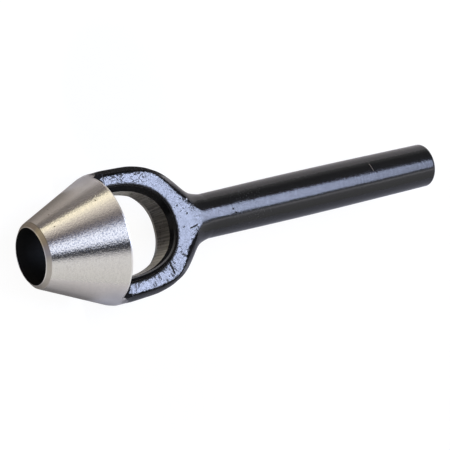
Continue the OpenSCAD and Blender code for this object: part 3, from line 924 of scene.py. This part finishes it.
def softbox(name, direction, across, along, colour, radiance, dist=1.3, levels=(), edge=None):
    """A flat soft light that faces the origin; across is its size along Y. levels are (x, level):
    its brightness by place along X. edge is (x, y, x, y): the line on its +Y side where it ends."""
    d = Vector(direction).normalized()
    light = bpy.data.lights.new(name, "AREA")
    light.shape = "RECTANGLE"
    light.size, light.size_y = across * dist, along * dist
    light.color = colour
    light.energy = radiance * math.pi * light.size * light.size_y
    light.use_nodes = True
    t = light.node_tree
    t.nodes.clear()

    def node(kind, **props):
        n = t.nodes.new(kind)
        for k, v in props.items():
            setattr(n, k, v)
        return n

    xyz = node("ShaderNodeSeparateXYZ")
    t.links.new(node("ShaderNodeNewGeometry").outputs["Position"], xyz.inputs[0])
    ramp = node("ShaderNodeValToRGB")
    t.links.new(xyz.outputs[0], ramp.inputs[0])
    while len(ramp.color_ramp.elements) < len(levels):
        ramp.color_ramp.elements.new(0.5)
    for e, (at, level) in zip(ramp.color_ramp.elements, levels):
        e.position, e.color = at, (level, level, level, 1)
    limit = node("ShaderNodeMapRange")
    t.links.new(xyz.outputs[0], limit.inputs["Value"])
    for k, v in zip(("From Min", "To Min", "From Max", "To Max"), edge):
        limit.inputs[k].default_value = v
    beyond = node("ShaderNodeMath", operation="SUBTRACT")
    t.links.new(xyz.outputs[1], beyond.inputs[0])
    t.links.new(limit.outputs[0], beyond.inputs[1])
    cut = node("ShaderNodeMapRange", interpolation_type="SMOOTHSTEP")
    t.links.new(beyond.outputs[0], cut.inputs["Value"])
    for k, v in zip(("From Min", "To Min", "From Max", "To Max"), (-0.03, 1.0, 0.03, 0.0)):
        cut.inputs[k].default_value = v
    level = node("ShaderNodeMath", operation="MULTIPLY")
    t.links.new(ramp.outputs[0], level.inputs[0])
    t.links.new(cut.outputs[0], level.inputs[1])
    emit = node("ShaderNodeEmission")
    t.links.new(level.outputs[0], emit.inputs["Strength"])
    t.links.new(emit.outputs[0], node("ShaderNodeOutputLight").inputs[0])
    obj = bpy.data.objects.new(name, light)
    side = Vector((0, 1, 0))
    side = (side - d * side.dot(d)).normalized()
    m = Matrix((side, d.cross(side), d)).transposed().to_4x4()
    m.translation = d * dist
    obj.matrix_world = m
    bpy.context.scene.collection.objects.link(obj)
    return obj


softbox("key_softbox", (0.51, 0.045, 0.855), 0.74, 0.62, (0.63, 0.718, 1.0), 27.4,
        levels=((0.655, 0.30), (0.685, 0.49), (0.703, 0.88), (0.718, 1.0), (0.730, 0.46), (0.742, 0.03), (0.768, 0.02), (0.782, 0.13),
                (0.80, 0.34), (0.815, 0.62), (0.83, 0.54), (0.85, 0.23), (0.875, 0.187)),
        edge=(0.77, 0.50, 0.87, 0.24))


def studio_world():
    world = bpy.data.worlds.new("studio")
    world.use_nodes = True
    bpy.context.scene.world = world
    t = world.node_tree
    t.nodes.clear()

    def node(kind, **props):
        n = t.nodes.new(kind)
        for k, v in props.items():
            setattr(n, k, v)
        return n

    def ramp(fac, stops):
        n = node("ShaderNodeValToRGB")
        r = n.color_ramp
        while len(r.elements) < len(stops):
            r.elements.new(0.5)
        for e, (pos, col) in zip(r.elements, stops):
            e.position, e.color = pos, (*col, 1)
        t.links.new(fac, n.inputs[0])
        return n.outputs[0]

    co = node("ShaderNodeTexCoord")
    xyz = node("ShaderNodeSeparateXYZ")
    t.links.new(co.outputs["Generated"], xyz.inputs[0])
    # Roll angle about the tool: 0 on its +Y side, 90 overhead, 180 on its -Y side.
    above = node("ShaderNodeMath", operation="MAXIMUM")
    t.links.new(xyz.outputs[2], above.inputs[0])
    above.inputs[1].default_value = 0.0
    roll = node("ShaderNodeMath", operation="ARCTAN2")
    t.links.new(above.outputs[0], roll.inputs[0])
    t.links.new(xyz.outputs[1], roll.inputs[1])
    turn = node("ShaderNodeMath", operation="DIVIDE")
    t.links.new(roll.outputs[0], turn.inputs[0])
    turn.inputs[1].default_value = math.pi
    def light_at(*stops):
        """Brightness by roll angle in degrees, halved because the background doubles it."""
        return ramp(turn.outputs[0], [(deg / 180, tuple(c / 2 for c in col)) for deg, col in stops])

    front = light_at((0, (0.26, 0.23, 0.23)), (7.5, (0.30, 0.27, 0.25)), (11.2, (1.48, 1.39, 1.11)), (15, (1.77, 1.64, 1.28)),
                     (20, (1.56, 1.44, 1.17)), (31, (1.05, 0.97, 0.87)), (43, (0.62, 0.57, 0.54)), (51, (0.30, 0.27, 0.27)),
                     (64, (0.27, 0.26, 0.31)), (73, (0.95, 1.00, 1.20)), (82, (1.50, 1.60, 1.86)), (99, (1.28, 1.36, 1.60)),
                     (103.9, (0.01, 0.01, 0.01)), (114.8, (0.02, 0.02, 0.02)), (121, (0.63, 0.63, 0.67)), (130, (0.99, 0.99, 1.01)),
                     (160, (0.94, 0.93, 0.93)), (180, (0.87, 0.87, 0.86)))
    back = light_at((0, (0.52, 0.52, 0.52)), (10, (0.42, 0.42, 0.42)), (28, (0.17, 0.17, 0.17)), (60, (0.20, 0.20, 0.21)),
                    (75, (0.42, 0.47, 0.66)), (112, (0.52, 0.57, 0.77)), (123, (0.65, 0.65, 0.7)), (128, (2.3, 2.28, 2.4)),
                    (133, (0.85, 0.85, 0.9)), (143, (0.74, 0.73, 0.76)),
                    (163, (0.58, 0.58, 0.59)), (180, (0.50, 0.50, 0.50)))
    where = node("ShaderNodeMapRange", interpolation_type="SMOOTHSTEP")
    t.links.new(xyz.outputs[0], where.inputs["Value"])
    where.inputs["From Min"].default_value, where.inputs["From Max"].default_value = 0.12, 0.38
    mix = node("ShaderNodeMix", data_type="RGBA")
    t.links.new(where.outputs[0], mix.inputs[0])
    t.links.new(front, mix.inputs[6])
    t.links.new(back, mix.inputs[7])
    # What stands behind the camera is dimmer.
    ahead = light_at((0, (0.42, 0.34, 0.23)), (50, (0.40, 0.33, 0.23)), (68, (0.24, 0.21, 0.21)), (100, (0.22, 0.20, 0.23)),
                     (125, (0.60, 0.60, 0.64)), (180, (0.60, 0.59, 0.60)))
    turned = node("ShaderNodeMapRange", interpolation_type="SMOOTHSTEP")
    t.links.new(xyz.outputs[0], turned.inputs["Value"])
    turned.inputs["From Min"].default_value, turned.inputs["From Max"].default_value = -0.42, -0.65
    all_round = node("ShaderNodeMix", data_type="RGBA")
    t.links.new(turned.outputs[0], all_round.inputs[0])
    t.links.new(mix.outputs[2], all_round.inputs[6])
    t.links.new(ahead, all_round.inputs[7])
    bg = node("ShaderNodeBackground")
    t.links.new(all_round.outputs[2], bg.inputs[0])
    bg.inputs[1].default_value = 2.0
    out = node("ShaderNodeOutputWorld")
    t.links.new(bg.outputs[0], out.inputs[0])


studio_world()

camera_data = bpy.data.cameras.new("photo_camera")
camera_data.sensor_width = 36.0
camera_data.lens = 223.4915
camera_data.clip_start, camera_data.clip_end = 0.05, 20.0
camera = bpy.data.objects.new("photo_camera", camera_data)
right, above, back = (0.822419, -0.247111, 0.512409), (0.194838, 0.968607, 0.154398), (-0.534476, -0.027143, 0.844748)
view = Matrix((right, above, back)).transposed().to_4x4()
view.translation = (-0.42752, -0.030028, 0.793948)
camera.matrix_world = view
bpy.context.scene.collection.objects.link(camera)
bpy.context.scene.camera = camera
bpy.context.scene.view_settings.view_transform = "Standard"
bpy.context.scene.view_settings.look = "None"
